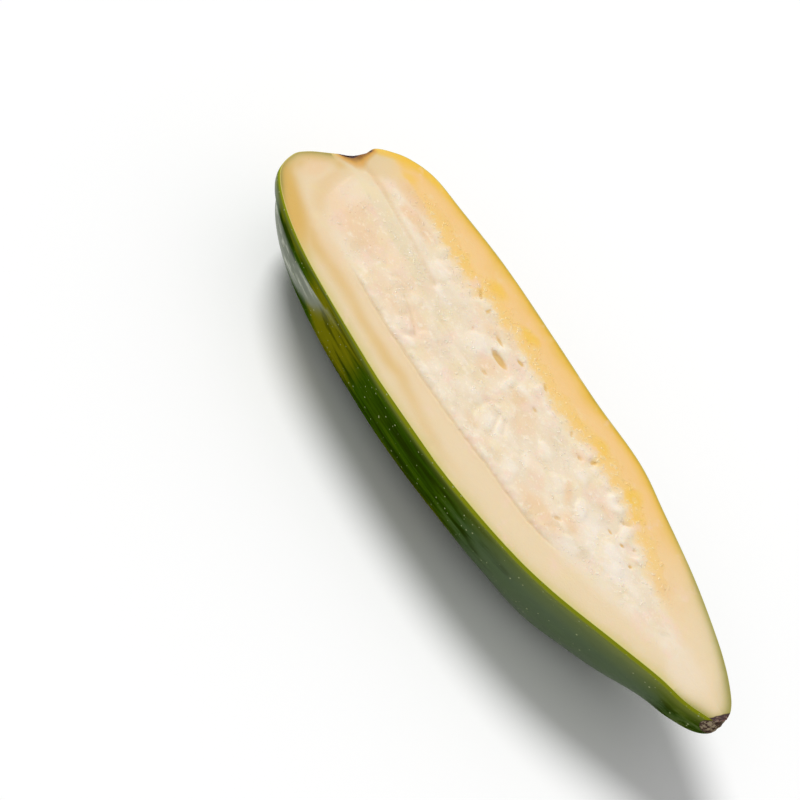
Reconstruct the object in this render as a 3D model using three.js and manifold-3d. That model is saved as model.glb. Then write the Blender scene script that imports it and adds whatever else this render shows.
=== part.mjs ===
// Half of a babaco, the five-sided highland papaya, cut lengthwise and laid on its back.
// Millimetres, +Z up. X runs from the stem scar to the blossom end and the cut face looks up.
import * as THREE from 'three';
import { mergeVertices } from 'three/addons/utils/BufferGeometryUtils.js';
import Module from 'manifold-3d';

// Driving dimensions
const RINGS = 72;               // rings of the surface from the stem scar to the blossom end
const SIDES = 64;               // sides of a ring, half of them across the cut face
const LOBES = 5;                // ribs round the whole fruit
const RIB_SWELL = 0.025;        // how far the ribs swell and the flats sink, of the radius
const GROOVE_DEPTH = 0.03;      // crease between two ribs, of the radius
const STEM_GROOVE_DEPTH = 0.04; // extra depth of the creases near the stem
const STEM_GROOVE_AT = 0.32;    // where along the fruit they are deepest
const STEM_GROOVE_REACH = 0.12;
const GROOVE_HALF_WIDTH = THREE.MathUtils.degToRad(8);
const GROOVE_START = THREE.MathUtils.degToRad(204); // first crease below the left rim
const GROOVE_TWIST = THREE.MathUtils.degToRad(-13); // how far the creases turn along the fruit
const STEM_SWAY = THREE.MathUtils.degToRad(13);     // the first crease lies lower at the stem
const BLOSSOM_SWAY = THREE.MathUtils.degToRad(-7);  // and nearer the rim at the blossom end
const SWAY_START = 0.1;         // where along the fruit it crosses from one to the other
const SWAY_END = 0.68;
const PULP_RISE = 1.2;          // the soft pulp swells this far above the firm flesh
const PULP_HALF_WIDTH = 0.28;   // of the width of the cut face
const PULP_EDGE = 0.06;         // width of its sloping edge, of the width of the cut face
const PULP_START = 0.3;         // where along the fruit the pulp begins and ends
const PULP_END = 0.8;
const PULP_FADE = 0.06;
const STEM_BOW = 9;             // the cut face's rings bow inwards round the hollow at the stem
const STEM_BOW_END = 0.45;      // where along the fruit they run straight across again
const REST_FLAT = 0.8;          // the skin is this far flattened where the fruit rests

// Left rim of the cut face, from the stem scar to the blossom end: along, across.
const LEFT_RIM = [
  [-121.3, 10.5], [-123, 7.1], [-125.4, 1.9], [-129.2, -6.8], [-130.2, -14.5], [-125.8, -24.4],
  [-112, -32.2], [-91, -37.8], [-60, -41.2], [-28, -43.1], [4, -42.5], [37.5, -38.1],
  [61, -31.8], [86.7, -21.3], [106, -13.4], [118.5, -9.7], [126.4, -5.7], [130.6, -2.8], [132.2, 2],
];

// Right rim, with a point beside each of the left one's.
const RIGHT_RIM = [
  [-121.3, 10.5], [-120.7, 13.7], [-120.4, 17.5], [-120.7, 22.3], [-117.6, 27.8], [-111.5, 34.3],
  [-101, 39.5], [-85, 41.1], [-56, 43], [-22, 42], [6, 40.8], [34.6, 41],
  [56, 36.3], [82, 29.7], [104, 22], [116.5, 16.4], [125.6, 10.7], [130.2, 6.3], [132.2, 2],
];

// Keel, the line along the fruit's back midway between the rims: along, depth below the cut.
const KEEL = [
  [-121.3, 0], [-121.5, 4], [-123, 9], [-126, 15.8], [-126, 23.6], [-121, 31.2],
  [-108, 37], [-88, 41.4], [-58, 44.6], [-25, 44.6], [5, 43], [36, 43.6],
  [58, 44.3], [84, 38.2], [106, 28], [118, 23.4], [128, 17.8], [132.9, 9.6], [132.2, 0],
];

const wasm = await Module();
wasm.setup();

const toCurve = (points) => new THREE.SplineCurve(points.map(([along, off]) => new THREE.Vector2(along, off)));
const leftRim = toCurve(LEFT_RIM);
const rightRim = toCurve(RIGHT_RIM);
const keel = toCurve(KEEL);

// Radius of a ring at an angle round the fruit, as a share of the plain ellipse there:
// ribs swell, creases sink, and both fade towards the two ends.
function ribFactor(station, angle) {
  const spacing = 2 * Math.PI / LOBES;
  const crossed = THREE.MathUtils.smoothstep(station, SWAY_START, SWAY_END);
  const sway = THREE.MathUtils.lerp(STEM_SWAY, BLOSSOM_SWAY, crossed) * Math.max(-Math.cos(angle), 0) ** 2;
  const firstGroove = GROOVE_START + GROOVE_TWIST * station + sway;
  const turned = THREE.MathUtils.euclideanModulo(angle - firstGroove + spacing / 2, spacing);
  const fromGroove = turned - spacing / 2;
  const crease = Math.exp(-((fromGroove / GROOVE_HALF_WIDTH) ** 2));
  const nearStem = Math.exp(-(((station - STEM_GROOVE_AT) / STEM_GROOVE_REACH) ** 2));
  const depth = GROOVE_DEPTH + STEM_GROOVE_DEPTH * nearStem;
  const fade = THREE.MathUtils.smoothstep(1 - station, 0, 0.25)
    * THREE.MathUtils.clamp(station / 0.15, 0, 1);
  return 1 - (depth * crease + RIB_SWELL * Math.cos(LOBES * fromGroove)) * fade;
}

// A point of the skin at a station from 0 (stem scar) to 1 (blossom end). The angle runs
// from pi at the left rim, under the keel, to 2 pi at the right rim.
function skinPoint(station, angle) {
  const left = leftRim.getPoint(station);
  const right = rightRim.getPoint(station);
  const bottom = keel.getPoint(station);
  const across = Math.cos(angle);
  const down = Math.sin(angle);
  const rimX = (left.x + right.x) / 2 + (right.x - left.x) / 2 * across;
  const factor = ribFactor(station, angle);
  return new THREE.Vector3(
    THREE.MathUtils.lerp(bottom.x, rimX, across ** 2),
    (left.y + right.y) / 2 + (right.y - left.y) / 2 * across * factor,
    bottom.y * down * factor,
  );
}

// Height of the pulp above the flesh at a share of the way from the left rim to the right.
function pulpHeight(station, share) {
  const { smoothstep } = THREE.MathUtils;
  const side = 1 - smoothstep(Math.abs(share - 0.5), PULP_HALF_WIDTH - PULP_EDGE, PULP_HALF_WIDTH);
  const along = smoothstep(station, PULP_START, PULP_START + PULP_FADE)
    * (1 - smoothstep(station, PULP_END - PULP_FADE, PULP_END));
  return PULP_RISE * side * along;
}

// A point of the cut face between the two rims of a station.
function facePoint(station, share) {
  const point = skinPoint(station, Math.PI).lerp(skinPoint(station, 2 * Math.PI), share);
  const bow = STEM_BOW * Math.sin(Math.PI * Math.min(station / STEM_BOW_END, 1)) ** 1.5;
  point.x += bow * 4 * share * (1 - share);
  point.z = pulpHeight(station, share);
  return point;
}

// A sphere with its poles along X, its upper half laid flat as the cut face and its lower
// half drawn out to the skin.
function halfFruit() {
  const sphere = new THREE.SphereGeometry(1, SIDES, RINGS).rotateZ(Math.PI / 2);
  sphere.deleteAttribute('normal');
  sphere.deleteAttribute('uv');
  const geometry = mergeVertices(sphere, 1e-5);
  const { position } = geometry.attributes;
  for (let i = 0; i < position.count; i += 1) {
    const station = Math.acos(THREE.MathUtils.clamp(-position.getX(i), -1, 1)) / Math.PI;
    const angle = Math.atan2(position.getZ(i), position.getY(i));
    const turn = THREE.MathUtils.euclideanModulo(angle, 2 * Math.PI);
    const placed = turn < Math.PI ? facePoint(station, 1 - turn / Math.PI) : skinPoint(station, turn);
    position.setXYZ(i, placed.x, placed.y, placed.z);
  }
  return geometry;
}

function toManifold(geometry) {
  const vertProperties = new Float32Array(geometry.attributes.position.array);
  const triVerts = new Uint32Array(geometry.index.array);
  return new wasm.Manifold(new wasm.Mesh({ numProp: 3, vertProperties, triVerts }));
}

function toGeometry(manifold) {
  const { vertProperties, triVerts } = manifold.getMesh();
  const geometry = new THREE.BufferGeometry();
  geometry.setAttribute('position', new THREE.BufferAttribute(vertProperties, 3));
  geometry.setIndex(new THREE.BufferAttribute(triVerts, 1));
  return geometry;
}

// The fruit with its lowest skin pressed flat, so that it lies still on a table.
function flattenedBelow(fruit) {
  fruit.computeBoundingBox();
  const { min, max } = fruit.boundingBox;
  const floor = new THREE.BoxGeometry(2 * (max.x - min.x), 2 * (max.y - min.y), max.z - min.z);
  floor.deleteAttribute('normal');
  floor.deleteAttribute('uv');
  const ground = mergeVertices(floor, 1e-5).translate(0, 0, min.z + REST_FLAT - (max.z - min.z) / 2);
  return toGeometry(toManifold(fruit).subtract(toManifold(ground)));
}

// The origin is the middle of the footprint, on the surface that the fruit lies on.
function stoodOnOrigin(geometry) {
  geometry.computeBoundingBox();
  const { min, max } = geometry.boundingBox;
  return geometry.translate(-(min.x + max.x) / 2, -(min.y + max.y) / 2, -min.z);
}

const fruit = stoodOnOrigin(flattenedBelow(halfFruit()));
fruit.computeVertexNormals();

const half = new THREE.Mesh(
  fruit,
  new THREE.MeshStandardMaterial({ color: 0x3f5a12, roughness: 0.35, metalness: 0 }),
);
half.name = 'babaco_half';

const group = new THREE.Group();
group.add(half);

export default group;
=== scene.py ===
"""Half of a babaco, cut lengthwise and lying on its skin with the cut face up.

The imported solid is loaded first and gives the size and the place. The fruit is then drawn
out of one sphere: the sphere's upper part becomes the cut face and its lower part the skin.
Pulp, scars and skin are worked in relief on that mesh, and the finishes read where on the
fruit they lie from values kept at its points. Lengths of the form are in millimetres: x
along the fruit from the stem, y across it to the right, z up from the cut.
"""

import logging
import math
from dataclasses import dataclass, field, replace
from enum import Enum

import bmesh
import bpy
import numpy as np
from mathutils import Matrix, Vector, noise


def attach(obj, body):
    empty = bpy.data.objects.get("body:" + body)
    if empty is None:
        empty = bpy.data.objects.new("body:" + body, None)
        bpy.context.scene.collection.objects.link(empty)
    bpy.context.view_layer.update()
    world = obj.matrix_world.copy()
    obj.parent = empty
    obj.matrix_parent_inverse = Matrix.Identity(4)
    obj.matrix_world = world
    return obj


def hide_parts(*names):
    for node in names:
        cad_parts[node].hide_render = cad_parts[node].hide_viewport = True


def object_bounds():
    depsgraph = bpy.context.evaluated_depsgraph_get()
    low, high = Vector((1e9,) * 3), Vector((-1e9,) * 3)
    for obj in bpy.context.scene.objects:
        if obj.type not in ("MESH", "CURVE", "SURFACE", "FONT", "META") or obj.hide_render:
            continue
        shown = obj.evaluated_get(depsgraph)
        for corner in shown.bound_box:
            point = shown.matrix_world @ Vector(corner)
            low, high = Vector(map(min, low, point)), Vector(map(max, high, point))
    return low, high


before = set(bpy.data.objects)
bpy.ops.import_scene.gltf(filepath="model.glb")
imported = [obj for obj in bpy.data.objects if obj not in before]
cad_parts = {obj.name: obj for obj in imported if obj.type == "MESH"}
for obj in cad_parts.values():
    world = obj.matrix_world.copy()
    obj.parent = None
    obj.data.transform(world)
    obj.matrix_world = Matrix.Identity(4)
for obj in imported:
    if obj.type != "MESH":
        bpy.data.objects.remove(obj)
CAD_LOW, CAD_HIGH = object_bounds()

LOG = logging.getLogger("babaco")
MM = 0.001
NODE = "babaco_half"
RIM_TURNS = (math.pi, 2 * math.pi)  # the left rim and the right one, as turns round the fruit

Triple = tuple[float, float, float]
Array = np.ndarray
Socket = bpy.types.NodeSocket
Tree = bpy.types.NodeTree
Span = tuple[float, float]  # where a smooth rise or fall begins and where it ends
Stretch = tuple[Span, Span]  # where something fades in and where it fades out
Hump = Triple  # a bell curve's height, middle and reach
Step = Triple  # a smooth rise's height, start and end


class Surface(Enum):
    """The two sides of the half, with the material slot that each one takes."""

    SKIN = 0
    CUT = 1


class Mark(Enum):
    """Values kept at the mesh's points, by the name that the finishes read them under."""

    FROM_RIM = "from_rim"  # distance from the nearest rim, in millimetres
    CRUST = "crust"  # how far inside a corky scar, in millimetres
    STAIN = "stain"  # flesh browned beside a scar
    RIPE = "ripe"  # the riper, yellower side of the flesh
    BAND = "band"  # the golden band that runs inside the unripe rim
    GOLD = "gold"  # deep yellow patches
    TINGE = "tinge"  # the olive tinge of the rim towards the blossom end
    JUICY = "juicy"  # the grainy, juicy flesh beside the pulp
    PULP = "pulp"  # the cottony pulp
    CROWN = "crown"  # painted light: tops of its lumps laid lighter
    VALLEY_SHADE = "valley"  # painted shade: dips between them laid darker
    CREASE = "crease"  # painted shade: a darker colour along the pulp's folds and the crease at its left edge
    BLUSH_AND_SHADE = "blush"  # flesh and pulp with a warmer, darker tint: partly their own, partly painted shade
    PALE = "pale"  # whiter, cooler flesh and pulp
    STRAND = "strand"  # the smooth strand from the stem
    HOLLOW = "hollow"  # small hollows laid open in the pulp
    EDGE = "edge"  # distance from the rim as a share of the skin's pale green edge, whose colour is partly its own and partly painted light and sheen
    PAINTED_SHEEN = "veil"  # painted sheen: grey-green colour on the skin's lower lobes in place of a reflection
    BLOOM = "bloom"  # painted highlight: whitish streaks along the first crease near the stem, in place of reflected light
    YELLOW = "yellow"  # skin that has ripened
    OLIVE = "olive"  # olive patches of the skin
    RUBBED = "rubbed"  # skin whose wax has been rubbed off


def put(name: str, data: bpy.types.ID) -> bpy.types.Object:
    """Puts a new object into the scene.

    Args:
        name: The object's name.
        data: Its mesh, lamp or camera.

    Returns:
        The object.
    """
    made = bpy.data.objects.new(name, data)
    bpy.context.scene.collection.objects.link(made)
    return made


def smooth_step(values: Array, start: float, end: float) -> Array:
    """Rises smoothly from 0 where the values pass start to 1 where they pass end."""
    share = np.clip((values - start) / (end - start), 0.0, 1.0)
    return share * share * (3.0 - 2.0 * share)


def fade(values: Array, start: float, end: float) -> Array:
    """Falls smoothly from 1 where the values pass start to 0 where they pass end."""
    return 1.0 - smooth_step(values, start, end)


def between(values: Array, rise: Span, fall: Span) -> Array:
    """Rises from 0 to 1 over the first span and falls back to 0 over the second."""
    return smooth_step(values, *rise) * fade(values, *fall)


def steps(values: Array, *rises: Step) -> Array:
    """The sum of smooth rises, each one with a height of its own."""
    return sum(height * smooth_step(values, start, end) for height, start, end in rises)


def bell(values: Array, height: float | Array, middle: float, reach: float) -> Array:
    """A bell curve, which has fallen to about a third of its height at its reach."""
    return height * np.exp(-(((values - middle) / reach) ** 2))


@dataclass(frozen=True)
class Ripple:
    """Smooth noise."""

    height: float  # how high it rises and how deep it falls, about
    size: Triple  # how long its features are along X, Y and Z
    seed: float  # moves it to a place of its own

    def at(self, places: Array) -> Array:
        """The noise at each of the places, which lie one a row."""
        scaled = places / np.array(self.size) + self.seed
        return self.height * np.array([noise.noise(point) for point in scaled.tolist()])


@dataclass(frozen=True)
class Puffs(Ripple):
    """Rounded lumps with creases between them, from 0 in a crease to their height on a lump."""

    crease: float = 0.5  # how wide a crease is, as a share of a lump

    def at(self, places: Array) -> Array:
        """The height of the lumps.

        Args:
            places: Where to measure it, one place a row.

        Returns:
            A height for each place.
        """
        scaled = places / np.array(self.size) + self.seed
        gaps = np.array([noise.voronoi(point)[0][:2] for point in scaled.tolist()])
        share = np.clip((gaps[:, 1] - gaps[:, 0]) / self.crease, 0.0, 1.0)
        return self.height * np.sqrt(share)


def together(places: Array, ripples: tuple[Ripple, ...]) -> Array:
    """The sum of several ripples at each place."""
    return sum(ripple.at(places) for ripple in ripples)


def bent(places: Array, ripples: tuple[Ripple, Ripple]) -> Array:
    """The places moved along X by one ripple and along Y by the other."""
    moved = [ripple.at(places) for ripple in ripples]
    return places + np.stack([*moved, np.zeros(len(places))], axis=1)


@dataclass(frozen=True)
class Outline:
    """A smooth line through a few points."""

    points: tuple[tuple[float, float], ...]  # how far along and how far off each one lies
    fine: int = 400  # how many points it is drawn with where it is read along its length
    coarse: int = 50  # and where distances are measured from it

    def at(self, station: Array) -> Array:
        """Places on the line, counted evenly from point to point.

        Args:
            station: Shares of the way from 0 at the first point to 1 at the last.

        Returns:
            One row (along, off) for each station.
        """
        knots = np.array(self.points, float)
        last = len(knots) - 1
        place = np.clip(np.asarray(station, float), 0.0, 1.0) * last
        start = np.minimum(place.astype(int), last - 1)
        share = (place - start)[..., None]
        before, here = knots[np.maximum(start - 1, 0)], knots[start]
        there, after = knots[start + 1], knots[np.minimum(start + 2, last)]
        leave, arrive = (there - before) / 2, (after - here) / 2
        cubic = 2 * here - 2 * there + leave + arrive
        square = 3 * there - 3 * here - 2 * leave - arrive
        return ((cubic * share + square) * share + leave) * share + here

    def off(self, along: Array) -> Array:
        """How far off the line lies at places along it, for a line that never turns back."""
        drawn = self.at(np.linspace(0.0, 1.0, self.fine))
        return np.interp(along, drawn[:, 0], drawn[:, 1])

    def distance(self, places: Array) -> Array:
        """How far places on the cut face lie from the line.

        Args:
            places: Points of the face, one a row.

        Returns:
            A distance for each point.
        """
        nearest = np.full(len(places), np.inf)
        for x, y in self.at(np.linspace(0.0, 1.0, self.coarse)):
            nearest = np.minimum(nearest, np.hypot(places[:, 0] - x, places[:, 1] - y))
        return nearest


@dataclass(frozen=True)
class Oval:
    """An oval place on the cut face, given by its middle and its size."""

    x: float
    y: float
    length: float
    width: float
    lean: float = 0.0  # how far it leans from the fruit's length, in degrees
    share: float = 1.0  # how strong it is

    def out(self, places: Array) -> Array:
        """How far out of the oval's middle places lie, with 1 on its edge.

        Args:
            places: Points of the face, one a row.

        Returns:
            A share for each point.
        """
        angle = math.radians(self.lean)
        dx, dy = places[:, 0] - self.x, places[:, 1] - self.y
        along = (dx * math.cos(angle) + dy * math.sin(angle)) / (self.length / 2)
        across = (dy * math.cos(angle) - dx * math.sin(angle)) / (self.width / 2)
        return np.hypot(along, across)

    def patch(self, places: Array, soft: float) -> Array:
        """The oval's strength inside, falling to 0 round its edge over a soft share of it."""
        return self.share * fade(self.out(places), 1.0 - soft, 1.0 + soft)

    def dome(self, places: Array) -> Array:
        """The height of a rounded lump that fills the oval, from 0 to its strength."""
        return self.share * np.sqrt(np.clip(1.0 - self.out(places) ** 2, 0.0, 1.0))


def ovals(*rows: tuple[float, ...]) -> tuple[Oval, ...]:
    """Several ovals, each from a row of its values in their order."""
    return tuple(Oval(*row) for row in rows)


def patches(several: tuple[Oval, ...], places: Array, soft: float) -> Array:
    """The strongest of several ovals at each place, each with a soft edge."""
    return np.max([oval.patch(places, soft) for oval in several], axis=0)


@dataclass(frozen=True)
class Fold:
    """A crease in the pulp along a line."""

    line: Outline
    depth: float = 0.32
    width: float = 1.0

    def sink(self, places: Array) -> Array:
        """How far the crease sinks the face at each place."""
        return bell(self.line.distance(places), self.depth, 0.0, self.width)


@dataclass(frozen=True)
class FruitForm:
    """The half fruit's shape, in millimetres, with the cut at height 0 and the body below.

    A station runs from 0 at the stem scar to 1 at the blossom end. A turn runs from 0 at
    the right rim over the cut face to pi at the left rim and under the keel to 2 pi.
    """

    left_rim: Outline = Outline((
        (-121.3, 10.5), (-123.0, 7.1), (-125.4, 1.9), (-129.2, -6.8), (-130.2, -14.5),
        (-125.8, -24.4), (-112.0, -32.2), (-91.0, -37.8), (-60.0, -41.2), (-28.0, -43.1),
        (4.0, -42.5), (37.5, -38.1), (61.0, -31.8), (86.7, -21.3), (106.0, -13.4),
        (118.5, -9.7), (126.4, -5.7), (130.6, -2.8), (132.2, 2.0),
    ))
    right_rim: Outline = Outline((
        (-121.3, 10.5), (-120.7, 13.7), (-120.4, 17.5), (-120.7, 22.3), (-117.6, 27.8),
        (-111.5, 34.3), (-101.0, 39.5), (-85.0, 41.1), (-56.0, 43.0), (-22.0, 42.0),
        (6.0, 40.8), (34.6, 41.0), (56.0, 36.3), (82.0, 29.7), (104.0, 22.0),
        (116.5, 16.4), (125.6, 10.7), (130.2, 6.3), (132.2, 2.0),
    ))
    keel: Outline = Outline((
        (-121.3, 0.0), (-121.5, 4.0), (-123.0, 9.0), (-126.0, 15.8), (-126.0, 23.6),
        (-121.0, 31.2), (-108.0, 37.0), (-88.0, 41.4), (-58.0, 44.6), (-25.0, 44.6),
        (5.0, 43.0), (36.0, 43.6), (58.0, 44.3), (84.0, 38.2), (106.0, 28.0),
        (118.0, 23.4), (128.0, 17.8), (132.9, 9.6), (132.2, 0.0),
    ))
    lobes: int = 5
    rib_swell: float = 0.025  # ribs swell and flats sink, of the radius
    groove_depth: float = 0.03  # the creases between ribs, of the radius
    stem_groove: Hump = (0.04, 0.32, 0.12)  # what the creases gain in depth near the stem
    groove_half_width: float = math.radians(8)
    groove_start: float = math.radians(204)  # the first crease below the left rim
    groove_twist: float = math.radians(-13)  # how far the creases turn along the fruit
    stem_sway: float = math.radians(13)  # the first crease lies lower at the stem
    blossom_sway: float = math.radians(-7)  # and nearer the rim at the blossom end
    swaying: Span = (0.1, 0.68)  # where it crosses from one to the other
    stem_fade: float = 0.15  # ribs and creases are fully grown from here,
    blossom_fade: float = 0.75  # and fade out from here
    stem_bow: float = 9.0  # the cut's rings bow inwards round the stem
    stem_bow_end: float = 0.45  # where they run straight across again
    stem_bow_power: float = 1.5
    lip: float = 1.0  # how much of the ribs is lost at the cut
    lip_reach: float = math.radians(9)

    def first_groove(self, station: Array, turn: Array) -> Array:
        """The turn at which the first crease below the left rim lies.

        Args:
            station: Places along the fruit.
            turn: Angles round it, because the crease sways only on the left side.

        Returns:
            An angle for each place.
        """
        crossed = smooth_step(station, *self.swaying)
        sway = self.stem_sway + (self.blossom_sway - self.stem_sway) * crossed
        sway = sway * np.maximum(-np.cos(turn), 0) ** 2
        return self.groove_start + self.groove_twist * station + sway

    def rib_factor(self, station: Array, turn: Array) -> Array:
        """The radius as a share of a plain ellipse's: ribs swell and creases sink.

        Both fade out at the ends, and at the cut too as far as the lip says.

        Args:
            station: Places along the fruit.
            turn: Angles round it.

        Returns:
            The share at each place, near 1.
        """
        spacing = 2 * math.pi / self.lobes
        away = (turn - self.first_groove(station, turn) + spacing / 2) % spacing - spacing / 2
        depth = self.groove_depth + bell(station, *self.stem_groove)
        grown = np.clip(station / self.stem_fade, 0.0, 1.0) * fade(station, self.blossom_fade, 1.0)
        from_cut = np.min([np.abs(turn - rim) for rim in RIM_TURNS], axis=0)
        grown = grown * (1 - self.lip * fade(from_cut, 0.0, self.lip_reach))
        ribs = self.rib_swell * np.cos(self.lobes * away)
        return 1 - (bell(away, depth, 0.0, self.groove_half_width) + ribs) * grown

    def skin(self, station: Array, turn: Array) -> Array:
        """Points of the skin.

        Args:
            station: Places along the fruit.
            turn: Angles from pi to 2 pi.

        Returns:
            One point a row.
        """
        left, right = self.left_rim.at(station), self.right_rim.at(station)
        bottom = self.keel.at(station)
        across, down = np.cos(turn), np.sin(turn)
        factor = self.rib_factor(station, turn)
        middle, half = (left + right) / 2, (right - left) / 2
        rim_x = middle[..., 0] + half[..., 0] * across
        x = bottom[..., 0] + (rim_x - bottom[..., 0]) * across ** 2
        y = middle[..., 1] + half[..., 1] * across * factor
        return np.stack([x, y, bottom[..., 1] * down * factor], axis=-1)

    def cut(self, station: Array, share: Array) -> Array:
        """Points of the flat cut face.

        Args:
            station: Places along the fruit.
            share: How far across the face they lie, 0 at the left rim and 1 at the right.

        Returns:
            One point a row.
        """
        left, right = [self.skin(station, np.full_like(station, turn)) for turn in RIM_TURNS]
        point = left + (right - left) * share[..., None]
        reach = np.sin(math.pi * np.minimum(station / self.stem_bow_end, 1.0))
        point[..., 0] += self.stem_bow * reach ** self.stem_bow_power * 4 * share * (1 - share)
        point[..., 2] = 0.0
        return point

    def below_groove(self, station: Array, turn: Array) -> Array:
        """How far below the first crease the skin lies, measured round it in millimetres.

        Args:
            station: Places along the fruit.
            turn: Angles round it.

        Returns:
            A distance for each place.
        """
        deep = self.keel.at(station)[..., 1]
        wide = (self.right_rim.at(station)[..., 1] - self.left_rim.at(station)[..., 1]) / 2
        return (turn - self.first_groove(station, turn)) * (deep + wide) / 2

    def even_stations(
        self, shares: Array, crowding: float, end_reach: float, drawn: int = 4000,
    ) -> Array:
        """Stations that stand evenly apart along the fruit and closer at its two ends.

        Args:
            shares: Evenly spaced numbers from 0 to 1.
            crowding: How many times closer they stand at the very ends.
            end_reach: How far from an end the crowding reaches, in millimetres.
            drawn: How many points the fruit's length is measured with.

        Returns:
            A station for each share.
        """
        dense = np.linspace(0.0, 1.0, drawn)
        lines = [line.at(dense) for line in (self.left_rim, self.right_rim, self.keel)]
        paces = sum(np.linalg.norm(np.diff(line, axis=0), axis=1) for line in lines) / len(lines)
        length = np.concatenate([[0.0], np.cumsum(paces)])
        from_end = np.minimum(length, length[-1] - length)[1:]
        weight = paces * (1 + bell(from_end, crowding - 1, 0.0, end_reach))
        grown = np.concatenate([[0.0], np.cumsum(weight)])
        return np.interp(shares, grown / grown[-1], dense)

    def from_rim(self, points: Array, drawn: int = 260, batch: int = 2000) -> Array:
        """Distance of each point from the nearest rim, in millimetres.

        Args:
            points: Points in millimetres, one a row.
            drawn: How many points a rim is drawn with.
            batch: How many points are measured at a time.

        Returns:
            One distance for each point.
        """
        nearest = np.full(len(points), np.inf)
        station = np.linspace(0.0, 1.0, drawn)
        for turn in RIM_TURNS:
            rim = self.skin(station, np.full_like(station, turn))
            pace = np.diff(rim, axis=0)
            length = np.sum(pace ** 2, axis=1)
            for first in range(0, len(points), batch):
                part = slice(first, first + batch)
                past = points[part][:, None, :] - rim[None, :-1, :]
                along = np.clip(np.sum(past * pace, axis=2) / length, 0.0, 1.0)
                away = np.linalg.norm(past - along[..., None] * pace, axis=2).min(axis=1)
                nearest[part] = np.minimum(nearest[part], away)
        return nearest

    def centre(self, rings: int = 300, sides: int = 90) -> tuple[float, float]:
        """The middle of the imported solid's footprint. The solid has no lip.

        Args:
            rings: How many rings of the skin it is measured with.
            sides: How many points of each ring.

        Returns:
            Its places along X and Y.
        """
        stations, turns = np.linspace(0, 1, rings), np.linspace(*RIM_TURNS, sides)
        station, turn = np.meshgrid(stations, turns)
        points = replace(self, lip=0.0).skin(station.ravel(), turn.ravel())
        low, high = points.min(axis=0), points.max(axis=0)
        return (low[0] + high[0]) / 2, (low[1] + high[1]) / 2


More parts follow.
